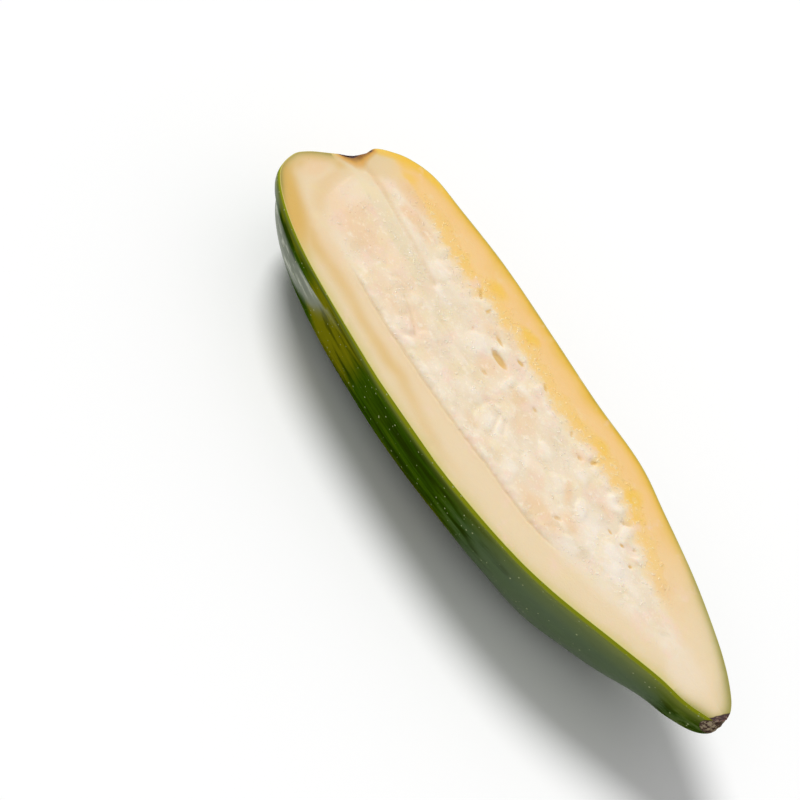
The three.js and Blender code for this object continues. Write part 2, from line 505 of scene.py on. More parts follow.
@dataclass(frozen=True)
class PulpRelief:
    """The soft, cottony pulp in the middle of the cut face, in millimetres."""

    left_edge: Outline = Outline((
        (-114, 3), (-109, -13), (-96, -20), (-77, -22.6), (-50, -24.6), (-12, -24.5),
        (10, -23.2), (30, -22.3), (40, -21), (50, -18.5), (70, -13), (90, -6), (106, 0),
    ))
    right_edge: Outline = Outline((
        (-114, 11), (-105, 19), (-90, 24), (-60, 22), (-30, 24), (0, 22), (30, 23),
        (42, 23.5), (57, 17), (75, 11), (95, 6), (106, 1),
    ))
    strand: Outline = Outline(((-119, 9.5), (-103, 7.6), (-85, 5.4), (-66, 2.6), (-44, 0)))
    strand_side: Span = (2.34, 4.68)  # how far off its line it fades
    strand_ends: Stretch = ((-120.0, -108.0), (-66.0, -46.0))
    ends: Stretch = ((-118.0, -100.0), (90.0, 114.0))  # where its colour comes and goes
    edge_wander: Ripple = Ripple(0.4, (6.0, 6.0, 6.0), 3.1)  # of both edges
    left_fray: Ripple = Ripple(0.35, (2.2, 3.0, 3.0), 5.1)
    right_fray: tuple[Ripple, ...] = (
        Ripple(3.2, (4.2, 11.0, 9.0), 8.4), Ripple(1.2, (2.0, 3.4, 3.0), 9.7),
    )
    frayed: Stretch = ((-96.0, -70.0), (70.0, 96.0))  # where the right edge is ragged
    creased: Stretch = ((-84.0, -72.0), (38.0, 54.0))  # where the left edge is a crease
    left_soft: tuple[float, float] = (1.0, 10.0)  # width of that edge on and off it
    right_soft: float = 9.0
    juicy_along: Stretch = ((-112.0, -84.0), (74.0, 92.0))
    juicy_across: Stretch = ((-12.0, -4.0), (2.0, 6.0))  # measured from the right edge
    # Painted shade along the left edge's crease and beside it on the flesh: height, middle and reach of
    # each.
    edge_crease_shades: tuple[Hump, ...] = ((0.46, 0.2, 0.7), (0.2, -2.0, 1.7))
    bends: tuple[Ripple, Ripple] = (
        Ripple(1.8, (6.0, 6.0, 6.0), 21.0), Ripple(1.8, (6.0, 6.0, 6.0), 33.0),
    )
    swells: tuple[Ripple, ...] = (
        Ripple(0.45, (11.0, 7.5, 8.0), 44.0), Ripple(0.2, (4.4, 3.4, 4.0), 47.0),
    )
    cell_chance: Ripple = Ripple(1.0, (17.0, 13.0, 13.0), 61.0)  # picks where cells show
    cell_span: Span = (-0.15, 0.3)
    cells: Puffs = Puffs(0.8, (13.0, 8.5, 9.0), 5.0)
    beads: Puffs = Puffs(0.8, (4.8, 3.8, 4.0), 15.0)  # small ones beside the left crease
    bead_row: Hump = (1.0, 2.4, 1.8)
    calm: Span = (-92.0, -64.0)  # lumps are faint before this
    calm_loss: float = 0.6
    calm_level: float = 0.22
    rise: float = 1.2
    headroom: float = 0.03  # left free below the rise
    end_slopes: tuple[tuple[float, float], ...] = (  # where each end begins and how gently
        (-119.0, 6.0), (112.0, -5.0),
    )
    slope: Span = (-0.3, 3.4)  # the pulp rises over this distance
    gentle: float = 3.0  # how much slower off the crease
    right_slope: float = 0.5
    base: float = 0.22  # its level between the lumps
    lump_share: float = 0.6
    waves: Ripple = Ripple(0.18, (18.0, 7.0, 7.0), 40.0)
    strand_level: float = 0.66
    edge_sink: Hump = (0.5, 0.1, 0.8)  # how the left crease sinks
    hollow_depth: float = 0.24  # of a hollow's width
    hollow_soft: float = 0.5
    lumps: tuple[Oval, ...] = ovals(
        (-4, -9, 15, 13), (13, -15, 16, 9, -48), (6, -13, 10, 7, 30, 0.8),
        (40.5, 1.5, 12, 5.5, -50), (44, 18, 10, 9, 30), (30, 21, 10, 5, 95, 0.9),
        (22, 22, 9, 5, 80, 0.85), (56, 13, 11, 6, -62), (48, -14, 12, 7, 20),
        (65, -1, 10, 7, 20, 0.8), (58, 2, 9, 6, 0, 0.85), (-34, 6, 13, 10, -60, 0.9),
        (-15.5, 7.5, 10, 4, 105), (-52, -17, 9, 5, 15), (-45, -20, 8, 4), (-33, -21, 6, 4),
        (-85, 13, 14, 6, -10, 0.7), (-98, 21, 14, 7, -10, 0.8), (-43, -12, 7, 6, 40, 0.9),
        (-59, -6, 9, 6, -35, 0.9), (67, 11, 8, 5, 60), (-19, -9, 14, 10, 20, 0.9),
        (14, 4, 9, 6, -30, 0.9), (56, -2, 30, 11, 8, 0.7), (28.5, 14, 12, 7, -40, 0.9),
        (-66, 14, 10, 8, 0, 0.9), (-8, 17, 9, 6, 40, 0.8), (-79, -18.5, 9, 5, 0, 0.9),
    )
    folds: tuple[Fold, ...] = (
        Fold(Outline(((-62, -9.3), (-55, -11.5), (-47, -15.8))), 0.3),
        Fold(Outline(((-48, -20.5), (-45, -15), (-41, -11.5), (-38.5, -4))), 0.15, 1.5),
        Fold(Outline(((-47, -1.3), (-42, -1.1), (-37, -1.9), (-28, -1.3))), 0.2, 1.2),
        Fold(Outline(((-10, -1), (-12, -4), (-12.4, -9), (-11, -15), (-5, -17.5))), 0.22, 1.3),
        Fold(Outline(((-6, -4), (-3.5, -8.5), (-1, -12.5)))),
        Fold(Outline(((-2.5, -4), (1.5, -8.5))), 0.28),
        Fold(Outline(((55, -9.8), (63, -7.2), (72, -6.6), (84, -4.0), (95, -1.5))), 0.14, 2.2),
        Fold(Outline(((-118, 13), (-105, 13.2), (-80, 9.8), (-62, 6.6))), 0.4, 2.0),
    )
    hollows: tuple[Oval, ...] = ovals(
        (-24.5, 11.8, 9.0, 3.3, 2), (-19.9, 19.8, 3.6, 1.9, 10, 0.85),
        (-43.5, 21.8, 3.8, 1.5, 98, 0.85), (-31.0, 17.4, 5.5, 1.9, -10, 0.75),
        (-50.8, 23.8, 5.0, 1.6, -40, 0.8), (-7.2, 23.2, 3.5, 1.5, -29, 0.75),
        (-1.3, 11.9, 2.8, 1.6, 3, 0.65), (26.5, 21.3, 3.4, 1.7, 81, 0.9),
        (38.5, -10.2, 3.4, 2.0, 43, 0.65), (52.2, 7.7, 2.8, 1.4, -3, 0.75),
        (58.7, 8.4, 2.2, 1.3, 20, 0.85), (67.0, 5.7, 1.8, 1.6, 27, 0.8),
        (52.3, 16.7, 5.6, 2.0, 50, 0.5), (-22.7, 1.8, 3.4, 1.8, 7, 0.6),
        (13, 20.5, 3.2, 1.5, -50, 0.7), (22.5, 16.5, 3.0, 2.0, 0, 0.6),
        (62.5, 12.5, 2.4, 1.4, 60, 0.5), (-40, 9.7, 2.6, 1.2, -40, 0.5),
    )

    def work(self, places: Array) -> tuple[Array, dict[Mark, Array]]:
        """Works out the pulp's relief and the values that the finish reads.

        Args:
            places: Points of the flat cut face.

        Returns:
            How far each point rises, in millimetres, and one array for each mark.
        """
        # Where it lies
        x, y = places[:, 0], places[:, 1]
        wander = self.edge_wander.at(places)
        left = y - self.left_edge.off(x) + wander + self.left_fray.at(places)
        ragged = together(places, self.right_fray) * between(x, *self.frayed)
        right = self.right_edge.off(x) - y + wander + ragged
        crisp = between(x, *self.creased)
        sharp, blurred = self.left_soft
        edges = (left / (blurred + (sharp - blurred) * crisp), right / self.right_soft)
        shares = [np.clip(0.5 + edge, 0.0, 1.0) for edge in edges]
        pulp = np.min([*shares, between(x, *self.ends)], axis=0)
        strand = fade(np.abs(y - self.strand.off(x)), *self.strand_side)
        strand = strand * between(x, *self.strand_ends)
        # How high it stands
        lumps = self.lumpy(places, left, crisp)
        level = self.base + self.lump_share * lumps + self.waves.at(places)
        level = level * (1 - strand) + self.strand_level * strand
        ends = [(x - start) / run for start, run in self.end_slopes]
        into = [left / (1 + self.gentle * (1 - crisp)), right * self.right_slope, *ends]
        folds = [fold.sink(places) for fold in self.folds]
        rise = self.rise * smooth_step(np.min(into, axis=0), *self.slope) * level
        rise -= bell(left, *self.edge_sink) * crisp + sum(folds)
        for hollow in self.hollows:
            rise -= self.hollow_depth * hollow.width * hollow.patch(places, self.hollow_soft)
        # What its finish reads
        # Painted shade: darker colour along the left crease and beside it.
        edge_crease_shade = sum(bell(left, *crease) for crease in self.edge_crease_shades) * crisp
        juicy = between(right, *self.juicy_across) * between(x, *self.juicy_along)
        return np.minimum(rise, self.rise - self.headroom), {
            Mark.CREASE: np.max([edge_crease_shade, *folds], axis=0),
            Mark.PULP: pulp,
            Mark.JUICY: juicy,
            # Painted light on the lumps' tops and painted shade in the dips between them.
            Mark.CROWN: pulp * (1 - strand) * lumps,
            Mark.VALLEY_SHADE: pulp * (1 - strand) * (1 - lumps),
            Mark.STRAND: strand,
            Mark.HOLLOW: patches(self.hollows, places, self.hollow_soft),
        }

    def lumpy(self, places: Array, left: Array, crisp: Array) -> Array:
        """Lumps from 0 in a crease to 1 on a crown, smoother towards the stem.

        Args:
            places: Points of the flat cut face.
            left: How far they lie inside the pulp's left edge.
            crisp: 1 where that edge is a crease.

        Returns:
            One height for each point.
        """
        moved = bent(places, self.bends)
        swell = 0.5 + together(moved, self.swells)
        cells = smooth_step(self.cell_chance.at(places), *self.cell_span) * self.cells.at(moved)
        placed = [lump.dome(moved) for lump in self.lumps]
        beads = self.beads.at(moved) * bell(left, *self.bead_row) * crisp
        lumps = (swell + np.max([cells, beads, *placed], axis=0)) / 2
        calm = fade(places[:, 0], *self.calm)
        return np.clip(lumps * (1 - self.calm_loss * calm) + self.calm_level * calm, 0.0, 1.0)


@dataclass(frozen=True)
class Scars:
    """The corky scars at the two ends, in millimetres."""

    on_ends: tuple[tuple[Triple, float], ...] = (  # middle and radius of each on the skin
        ((-121.5, 11.5, -4.0), 7.5), ((131.8, -0.6, -4.6), 5.9),
    )
    stem_end: float = -100.0  # the stem's scar ends before this along the cut face
    rind: tuple[Hump, ...] = ((1.6, 9.2, 4.2), (0.95, 19.6, 1.6))  # its reach from the rim
    rind_bare: float = 0.3  # taken off the reach, so that it stops between the humps
    off_rind: float = -9.0  # kept where there is no rind
    button_at: float = 129.4  # where the blossom end's cork button begins on the cut face
    button_slant: float = 0.24  # and how much later per millimetre to the right
    button_stain: Step = (0.12, -2.2, 0.0)
    stain_reach: float = 3.2  # browned flesh beside the stem's scar
    stain_tongue: Hump = (5.6, 10.5, 4.6)
    stain_across: Stretch = ((1.5, 7.0), (20.5, 24.0))

    def on_skin(self, points: Array) -> Array:
        """How far inside a scar points of the skin lie, in millimetres."""
        away = [np.linalg.norm(points - middle, axis=1) - radius for middle, radius in self.on_ends]
        return -np.min(away, axis=0)

    def marks(self, places: Array, from_rim: Array) -> dict[Mark, Array]:
        """Works out how far inside a scar the cut face lies and how browned it is beside one.

        Args:
            places: Points of the cut face.
            from_rim: Their distance from the rim.

        Returns:
            One array for each mark.
        """
        x, y = places[:, 0], places[:, 1]
        by_stem = x < self.stem_end
        button = x - self.button_at - self.button_slant * y
        rind = sum(bell(y, *hump) for hump in self.rind) - self.rind_bare - from_rim
        reach = self.stain_reach + bell(y, *self.stain_tongue)
        stain = (1 - from_rim / reach) * between(y, *self.stain_across) * by_stem
        return {
            Mark.CRUST: np.maximum(np.where(by_stem, rind, self.off_rind), button),
            Mark.STAIN: np.maximum(stain, steps(button, self.button_stain)),
        }


@dataclass(frozen=True)
class SkinZones:
    """Where the skin changes colour, in millimetres and as turns round the fruit."""

    edge_width: Outline = Outline((
        (-132, 1.7), (-100, 1.5), (-76, 0.9), (-50, 1.8), (-34, 2.7), (0, 3.3), (24, 4.4),
        (60, 4.9), (100, 4.8), (118, 3.9), (132, 2.4),
    ))
    unevenness: Ripple = Ripple(14.0, (40.0, 11.0, 11.0), 62.0)  # of borders along the fruit
    tip_drop: Step = (4.5, 92.0, 118.0)  # the crease is hidden lower at the tip
    yellow_turn: Span = (math.radians(276), math.radians(316))  # a ripened lobe
    yellow_end: Span = (26.0, 96.0)
    # Painted sheen on the lower lobes, a colour that stands in for reflected light:
    painted_sheen_start: Span = (-12.0, 62.0)
    painted_sheen_above: float = 0.4  # how much painted sheen lies above the first crease
    painted_sheen_below: Step = (0.6, -1.5, 2.0)  # and what is added below it
    painted_sheen_under: Step = (0.3, 3.9, 4.7)  # what it loses towards the keel
    painted_sheen_tip: Step = (0.6, 98.0, 124.0)  # and at the blossom end
    # Painted highlight near the stem, whitish streaks in place of reflected light: where it ends, the
    # line it follows and its spread across that line.
    painted_highlight_end: Span = (-78.0, -60.0)
    painted_highlight_line: Outline = Outline((
        (-130, 5.0), (-108, 5.0), (-96, 4.0), (-84, 0.4), (-72, -4.0), (-60, -6), (132, -6),
    ))
    painted_highlight_across: Stretch = ((-4.0, -1.0), (3.8, 10.5))
    olive_patch: Stretch = ((-90.0, -68.0), (-60.0, -36.0))
    olive_down: Span = (12.0, 28.0)  # below the first crease
    olive_tip: Step = (0.15, 96.0, 116.0)
    olive_rim: float = 0.55  # along the rim beside the stem scar
    olive_rim_reach: Span = (3.0, 8.0)
    olive_rim_end: Span = (-98.0, -78.0)
    olive_streak: Stretch = ((-40.0, -10.0), (5.0, 30.0))
    olive_streak_down: Hump = (0.5, 22.0, 7.0)
    rubbed_along: Stretch = ((-128.0, -112.0), (20.0, 70.0))
    rubbed_turn: Span = (4.2, 4.9)
    rubbed_tip: Span = (96.0, 116.0)
    rubbed_rim: Span = (2.0, 5.0)

    def marks(
        self, form: FruitForm, points: Array, station: Array, turn: Array, from_rim: Array,
    ) -> dict[Mark, Array]:
        """Works out the values that the skin's finish reads.

        Args:
            form: The fruit's shape.
            points: Its points before relief.
            station: Their places along the fruit.
            turn: Their angles round it.
            from_rim: Their distance from the rim.

        Returns:
            One array for each of the skin's marks.
        """
        x = points[:, 0]
        uneven = x + self.unevenness.at(points)
        groove = form.below_groove(station, turn) - steps(x, self.tip_drop)
        # Painted sheen: grey-green colour where the lower lobes would reflect the floor.
        veil = smooth_step(x, *self.painted_sheen_start) * (self.painted_sheen_above + steps(groove, self.painted_sheen_below))
        veil = veil * (1 - steps(turn, self.painted_sheen_under)) * (1 - steps(x, self.painted_sheen_tip))
        # Painted highlight: whitish streaks along the first crease near the stem.
        bloom = fade(uneven, *self.painted_highlight_end)
        bloom = bloom * between(groove - self.painted_highlight_line.off(x), *self.painted_highlight_across)
        olive = between(uneven, *self.olive_patch) * fade(groove, *self.olive_down)
        at_rim = fade(from_rim, *self.olive_rim_reach) * fade(x, *self.olive_rim_end)
        olive = olive + steps(x, self.olive_tip) + self.olive_rim * at_rim
        olive = olive + between(x, *self.olive_streak) * bell(groove, *self.olive_streak_down)
        rubbed = between(x, *self.rubbed_along) * fade(turn, *self.rubbed_turn)
        rubbed = np.maximum(rubbed, smooth_step(x, *self.rubbed_tip)) * (1 - bloom)
        return {
            Mark.PAINTED_SHEEN: veil,
            Mark.BLOOM: bloom,
            Mark.YELLOW: smooth_step(turn, *self.yellow_turn) * fade(x, *self.yellow_end),
            Mark.OLIVE: olive,
            Mark.RUBBED: np.maximum(rubbed, fade(from_rim, *self.rubbed_rim)),
            Mark.EDGE: from_rim / self.edge_width.off(x),
        }


@dataclass(frozen=True)
class FleshZones:
    """Where the cut flesh changes colour, in millimetres."""

    bends: tuple[Ripple, Ripple] = (
        Ripple(2.0, (7.0, 7.0, 7.0), 51.0), Ripple(2.0, (7.0, 7.0, 7.0), 57.0),
    )
    ripe_edge: Outline = Outline((
        (-124, 31), (-112, 27), (-100, 25), (-80, 20), (-30, 16), (60, 8), (110, 4),
    ))
    ripe_soft: Span = (-3.5, 3.5)
    ripe_fade: Span = (47.0, 109.0)
    band_from_rim: Outline = Outline((
        (-132, 4.5), (-95, 6.0), (-72, 8.8), (-52, 8.2), (-30, 8.8), (-8, 7), (14, 6), (132, 6),
    ))
    band_wander: tuple[Ripple, ...] = (
        Ripple(1.8, (24.0, 24.0, 24.0), 95.0), Ripple(0.9, (8.0, 6.0, 6.0), 98.0),
    )
    band_reach: float = 4.0
    band_strength: Outline = Outline((
        (-132, 0.6), (-85, 0.58), (-50, 0.52), (-20, 0.42), (0, 0.27), (20, 0), (40, 0), (132, 0),
    ))
    band_uneven: Ripple = Ripple(0.25, (12.0, 9.0, 9.0), 91.0)
    band_across: Span = (2.0, 8.0)  # it stops before the right side
    lobe_along: Span = (-110.0, -80.0)  # the golden lobe left of the stem scar
    lobe_inside: Span = (3.0, 14.0)
    lobe_pale: Step = (0.5, -26.0, -15.0)
    lobe_core: Oval = Oval(-122, -8, 9, 16)
    core_from_rim: Span = (1.0, 7.0)
    lobe_line: Outline = Outline(((-119, 5), (-117, -4), (-114, -12), (-108, -18)))
    lobe_line_hump: Hump = (0.32, 0.0, 5.0)
    tan: Oval = Oval(-114, 18, 16, 16, 0, 0.3)
    left_tinge: Outline = Outline((
        (-132, 0.75), (-127, 0.9), (-121, 1.1), (-112, 0.45), (-100, 0.15), (-90, 0), (92, 0),
        (112, 0.4), (122, 0.75), (132, 0.8),
    ))
    right_tinge: tuple[Step, ...] = ((0.4, 26.0, 46.0), (0.45, 62.0, 88.0), (0.15, 98.0, 112.0))
    tinge_side: float = 2.0  # the right side begins here across the fruit
    tinge_reach: float = 1.6
    tinge_growth: tuple[Step, ...] = ((0.7, 66.0, 92.0), (1.1, 108.0, 124.0))
    gilt_inside: Hump = (1.2, 0.8, 2.8)  # deep yellow beside the rim near the stem
    gilt_along: Span = (-104.0, -78.0)
    gilt_across: Span = (19.0, 24.0)
    tan_soft: float = 0.6
    core_soft: float = 0.5
    tint_soft: float = 0.7
    gold_soft: float = 0.9
    # Warmer, darker patches: partly the flesh's own tint, partly painted shade in dips of the pulp, as
    # at x 33 and round x 0 and 20.
    blushes_and_shades: tuple[Oval, ...] = ovals(
        (-92, 17, 7, 5, 40), (-96, 23, 20, 7, 0, 0.8), (-82, 18, 14, 8, 0, 0.7),
        (-96, -6, 40, 24, 0, 0.75), (-106, 14, 14, 8, 0, 0.5), (-72, -4, 30, 18, 0, 0.5),
        (-92, -27, 44, 10, -5, 0.4), (-42, -28, 70, 9, 0, 0.25), (-60, 18, 22, 8, 0, 0.35),
        (-25, 5, 11, 10, 0, 0.7), (-8, 8, 10, 8, 0, 0.75), (-30, 22, 12, 5, 0, 0.6),
        (32, 1.5, 13, 4.5, -50, 0.7), (23, 17, 8, 6, 0, 0.6), (80, 13, 14, 7, 0, 0.5),
        (44, 12, 8, 4, 0, 0.5), (33, -15.5, 26, 11, 5, 0.75), (-9, -16, 8, 5, 20, 0.6),
        (-123, -8, 9, 16, 0, 0.6), (-90, 18.5, 13, 6, 0, 0.9), (-36, 18, 12, 8, 0, 0.6),
        (43, -6, 11, 8, 0, 0.75), (-50, -12, 28, 9, -15, 0.5), (82, 17, 20, 7, -20, 0.35),
        (20, -6, 14, 8, -30, 0.45), (0, 3, 14, 14, 0, 0.55), (-64, -15, 34, 12, 5, 0.5),
        (-45, 18, 12, 7, 0, 0.45), (-20, 9, 8, 10, 0, 0.4),
    )
    pale: tuple[Oval, ...] = ovals(
        (57, 1, 32, 15), (63, -8, 16, 7, 0, 0.6), (-108, -1, 12, 18, 0, 0.5),
        (-90, 1, 16, 12, 0, 0.4), (-72, 1, 14, 12, 0, 0.35), (-56, 6, 16, 8, 0, 0.5),
        (-31, 7, 8, 9, 0, 0.55), (-10, -12, 12, 8, 0, 0.5), (108, -1, 28, 17, -10, 0.5),
        (48, -14, 12, 7, 20, 0.5), (29, 15, 6, 10, -20, 0.5),
    )
    gold: tuple[Oval, ...] = ovals(
        (-50, 32.5, 10, 6), (-28, 32, 9, 5), (23, 29.5, 11, 5.5, 0, 0.8), (45, 28, 9, 7),
        (-104, 28, 10, 6, 0, 0.8), (10, 27, 8, 5, 0, 0.55), (-65, 27, 12, 5, 0, 0.5),
        (-112, 33, 16, 9, 50, 0.75), (-80, 30, 12, 6, 0, 0.35), (52, 24, 8, 6, 0, 0.6),
        (-104, 24, 20, 7, 0, 0.42),
    )

    def band(self, places: Array, moved: Array, from_rim: Array) -> Array:
        """How golden the flesh is inside the unripe rim and in the lobe beside the stem.

        Args:
            places: Points of the cut face.
            moved: The same points, bent for uneven borders.
            from_rim: Their distance from the rim.

        Returns:
            One share for each point.
        """
        x, y = places[:, 0], places[:, 1]
        strength = self.band_strength.off(x) * (1 + self.band_uneven.at(places))
        off_band = from_rim + together(places, self.band_wander) - self.band_from_rim.off(x)
        lobe = fade(x, *self.lobe_along) * fade(from_rim, *self.lobe_inside)
        lobe = lobe * (1 - steps(y, self.lobe_pale))
        line = bell(self.lobe_line.distance(places), *self.lobe_line_hump)
        band = np.max([bell(off_band, strength, 0.0, self.band_reach), lobe, line], axis=0)
        core = self.lobe_core.patch(moved, self.core_soft)
        core = core * smooth_step(from_rim, *self.core_from_rim)
        band = band * fade(y, *self.band_across) * (1 - core)
        return np.maximum(band, self.tan.patch(moved, self.tan_soft))

    def marks(self, places: Array, from_rim: Array) -> dict[Mark, Array]:
        """Works out the values that the flesh's finish reads.

        Args:
            places: Points of the cut face.
            from_rim: Their distance from the rim.

        Returns:
            One array for each of the flesh's marks.
        """
        x, y = places[:, 0], places[:, 1]
        moved = bent(places, self.bends)
        ripe = smooth_step(y - self.ripe_edge.off(x), *self.ripe_soft) * fade(x, *self.ripe_fade)
        right_tinge = steps(x, *self.right_tinge)
        tinge = np.where(y < self.tinge_side, self.left_tinge.off(x), right_tinge)
        reach = self.tinge_reach + steps(x, *self.tinge_growth)
        gilt = bell(from_rim, *self.gilt_inside) * fade(x, *self.gilt_along)
        gilt = gilt * smooth_step(y, *self.gilt_across)
        return {
            Mark.RIPE: ripe,
            Mark.BAND: self.band(places, moved, from_rim),
            Mark.GOLD: np.maximum(gilt, patches(self.gold, moved, self.gold_soft)),
            Mark.BLUSH_AND_SHADE: patches(self.blushes_and_shades, moved, self.tint_soft),
            Mark.PALE: patches(self.pale, moved, self.tint_soft),
            Mark.TINGE: tinge * np.exp(-from_rim / reach),
        }


@dataclass
class CutHalf:
    """The half fruit: one closed mesh with skin below and the cut face above."""

    form: FruitForm = field(default_factory=FruitForm)
    pulp: PulpRelief = field(default_factory=PulpRelief)
    scars: Scars = field(default_factory=Scars)
    skin_zones: SkinZones = field(default_factory=SkinZones)
    flesh_zones: FleshZones = field(default_factory=FleshZones)
    rings: int = 414  # of the mesh, from the stem to the blossom end
    sides: int = 240  # of a ring
    cut_share: float = 0.6  # of them that crosses the cut face, where detail is finest
    end_crowding: float = 1.8  # how many times closer rings stand at the ends
    end_reach: float = 16.0  # how far from an end that reaches
    near: float = 1e-4  # turns and lengths below this count as none
    flat_rim: Span = (0.0, 1.5)  # the cut face's relief grows over this distance from the rim
    whole_rim: Span = (0.0, 6.0)  # and the skin's dents over this one
    dents: tuple[Ripple, ...] = (
        Ripple(0.22, (34.0, 9.0, 9.0), 70.0), Ripple(0.08, (12.0, 3.0, 3.0), 74.0),
    )
    crust: tuple[Ripple, ...] = (
        Ripple(0.5, (1.9, 1.9, 1.9), 80.0), Ripple(0.3, (0.9, 0.9, 0.9), 84.0),
    )
    crust_edge: Span = (-0.2, 0.6)
    scar_depth: float = 0.45

    def place(self) -> Vector:
        """Works out where the half lies.

        Returns:
            The place of the form's zero point in the row, in metres.
        """
        middle = (CAD_LOW + CAD_HIGH) / 2
        zero = Vector((*self.form.centre(), self.pulp.rise)) * MM
        return Vector((middle.x, middle.y, CAD_HIGH.z)) - zero

    def sphere(self) -> bmesh.types.BMesh:
        """Makes the sphere that the fruit is drawn out of.

        Returns:
            A sphere with its poles along X and its upper part's faces marked as the cut.
        """
        ball = bmesh.new()
        bmesh.ops.create_uvsphere(ball, u_segments=self.sides, v_segments=self.rings, radius=1.0)
        turned = Matrix.Rotation(math.radians(-90), 3, "Y")
        bmesh.ops.rotate(ball, verts=ball.verts, cent=(0, 0, 0), matrix=turned)
        ball.verts.index_update()
        for parts in (ball.edges, ball.faces):  # the operator lists these in no fixed order
            listed = sorted(parts, key=lambda part: sorted(vert.index for vert in part.verts))
            for number, part in enumerate(listed):
                part.index = number
            parts.sort()
        cut_end = 2 * math.pi * self.cut_share
        for face in ball.faces:
            middle = face.calc_center_median()
            on_cut = math.atan2(middle.z, middle.y) % (2 * math.pi) < cut_end
            face.material_index = Surface.CUT.value if on_cut else Surface.SKIN.value
            face.smooth = True
        for edge in ball.edges:
            edge.smooth = len({face.material_index for face in edge.link_faces}) == 1
        return ball

    def turns(self, ball: Array) -> tuple[Array, Array]:
        """Turns round the fruit for the sphere's points.

        Args:
            ball: The sphere's points, one a row.

        Returns:
            Their turns, with the cut from 0 to pi, and which of them lie on the cut.
        """
        whole = 2 * math.pi
        raw = np.arctan2(ball[:, 2], ball[:, 1]) % whole
        cut_end = whole * self.cut_share
        on_rim = (raw < self.near) | (raw > whole - self.near)
        on_cut = ~on_rim & (raw < cut_end - self.near)
        over = raw * math.pi / cut_end
        under = math.pi + (raw - cut_end) * math.pi / (whole - cut_end)
        return np.where(on_rim, whole, np.where(on_cut, over, under)), on_cut

    def shaped(self, ball: Array) -> tuple[Array, dict[Mark, Array]]:
        """Draws the sphere's points out to the fruit.

        Args:
            ball: The sphere's points, one a row.

        Returns:
            The fruit's points in millimetres, and the values kept at them.
        """
        share = np.arccos(np.clip(-ball[:, 0], -1.0, 1.0)) / math.pi
        turn, on_cut = self.turns(ball)
        station = self.form.even_stations(share, self.end_crowding, self.end_reach)
        flat = self.form.skin(station, turn)
        flat[on_cut] = self.form.cut(station, 1 - turn / math.pi)[on_cut]
        from_rim = self.form.from_rim(flat)
        marks = {mark: np.zeros(len(flat)) for mark in Mark}
        marks[Mark.FROM_RIM] = from_rim
        marks[Mark.CRUST] = self.scars.on_skin(flat)
        marks |= self.skin_zones.marks(self.form, flat, station, turn, from_rim)
        face, inside = flat[on_cut], from_rim[on_cut]
        rise, pulp_marks = self.pulp.work(face)
        on_face = self.flesh_zones.marks(face, inside) | self.scars.marks(face, inside) | pulp_marks
        for mark, values in on_face.items():
            marks[mark][on_cut] = values
        flat[on_cut, 2] += rise * smooth_step(inside, *self.flat_rim)
        self.work_skin(flat, on_cut, marks)
        return flat, marks

    def work_skin(self, flat: Array, on_cut: Array, marks: dict[Mark, Array]) -> None:
        """Gives the skin its shallow dents and the scars their rough crust.

        Args:
            flat: The fruit's points, which this moves.
            on_cut: Which of them lie on the cut face.
            marks: The values kept at them.
        """
        start = flat.copy()
        inward = -start * (0.0, 1.0, 1.0)
        inward /= np.maximum(np.linalg.norm(inward, axis=1), self.near)[:, None]
        dents = sum(dent.height + dent.at(start) for dent in self.dents)
        dents = dents * smooth_step(marks[Mark.FROM_RIM], *self.whole_rim)
        flat += inward * (dents * ~on_cut)[:, None]
        rough = np.clip(0.5 + together(start, self.crust), 0.0, 1.0) * self.scar_depth
        crust = smooth_step(marks[Mark.CRUST], *self.crust_edge) * rough
        flat[:, 0] -= np.sign(start[:, 0]) * crust * ~on_cut
        flat[:, 2] -= crust * on_cut

    def build(self) -> bpy.types.Object:
        """Makes the fruit's mesh with its marks and its finishes.

        Returns:
            The fruit, in place and in metres.
        """
        ball = self.sphere()
        mesh = bpy.data.meshes.new(NODE + "_dressed")
        ball.to_mesh(mesh)
        ball.free()
        points = np.empty(len(mesh.vertices) * 3, np.float32)
        mesh.vertices.foreach_get("co", points)
        shaped, marks = self.shaped(points.reshape(-1, 3).astype(float))
        placed = np.clip(shaped * MM + np.array(self.place()), CAD_LOW, CAD_HIGH)
        mesh.vertices.foreach_set("co", placed.astype(np.float32).ravel())
        for mark, values in marks.items():
            kept = mesh.attributes.new(mark.value, "FLOAT", "POINT")
            kept.data.foreach_set("value", values.astype(np.float32))
        for finish in (WaxySkin(), CutFlesh()):
            mesh.materials.append(finish.material())
        mesh.update()
        return put(NODE + "_dressed", mesh)


def linear(text: str) -> tuple[float, float, float, float]:
    """Turns an sRGB colour of six hex digits into the linear colour that a shader takes."""
    channels = [int(text[i:i + 2], 16) / 255 for i in (0, 2, 4)]
    return (*[c / 12.92 if c <= 0.04045 else ((c + 0.055) / 1.055) ** 2.4 for c in channels], 1.0)


def per_metre(size_mm: float) -> float:
    """The scale of a pattern whose features are this many millimetres across."""
    return 1 / (size_mm * MM)


